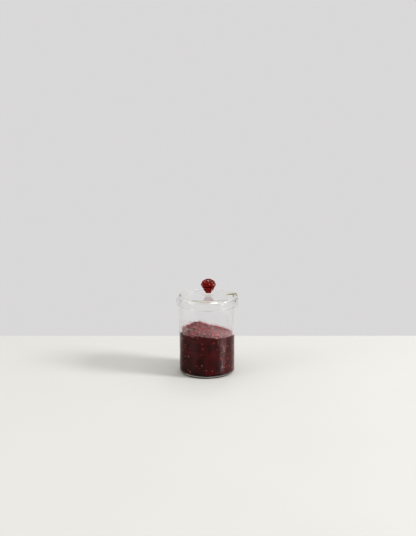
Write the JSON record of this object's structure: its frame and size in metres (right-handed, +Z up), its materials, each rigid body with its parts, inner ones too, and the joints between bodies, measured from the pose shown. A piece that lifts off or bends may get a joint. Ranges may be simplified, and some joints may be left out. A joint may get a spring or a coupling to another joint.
{
  "type": "jam jar",
  "caption": "Straight clear glass jar part filled with dark berry jam, under a loose overhanging glass lid with a spoon slot and a red glass berry knob.",
  "frame": {"origin": "middle of the jar's flat underside, on the table", "axes": "+Z up along the jar's axis, +X towards the spoon slot in the lid, so -Y is the side seen from the front"},
  "size_m": [0.0915, 0.0918, 0.1405],
  "materials": {
    "clear_glass": "clear blown glass, fire-polished edges, faintly olive where it is thick",
    "lid_glass": "clear blown glass, faintly olive at its cut and rounded edges",
    "berry_glass": "deep red glass, glossy, with rounded beads",
    "jam": "wet dark berry jam with seeds and an uneven glossy surface"
  },
  "bodies": {
    "root": {"jar": "clear_glass", "jam": "jam", "lid": "lid_glass", "berry_knob": "berry_glass"}
  },
  "joints": []
}
